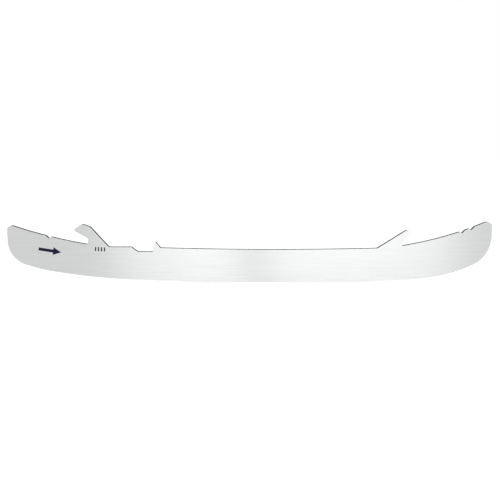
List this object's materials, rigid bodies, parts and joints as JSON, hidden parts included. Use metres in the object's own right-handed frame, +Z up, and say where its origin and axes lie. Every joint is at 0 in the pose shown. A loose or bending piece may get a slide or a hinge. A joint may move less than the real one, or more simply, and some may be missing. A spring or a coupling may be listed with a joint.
{
  "type": "ice hockey skate blade",
  "caption": "Flat stainless steel ice hockey skate blade: rockered, hollow-ground running edge below, heel hook with latch seat and slanted toe finger above that lock it into a blade holder.",
  "frame": {"origin": "under the middle of the blade's length, in the middle of its thickness, at the level of the lowest point of the running edge", "axes": "+X from heel to toe, +Y through the thickness towards the skater's left, +Z up from the ice to the boot"},
  "size_m": [0.272, 0.0028, 0.0343],
  "materials": {
    "steel": "satin ground"
  },
  "bodies": {
    "root": {"runner": "steel"}
  },
  "joints": []
}
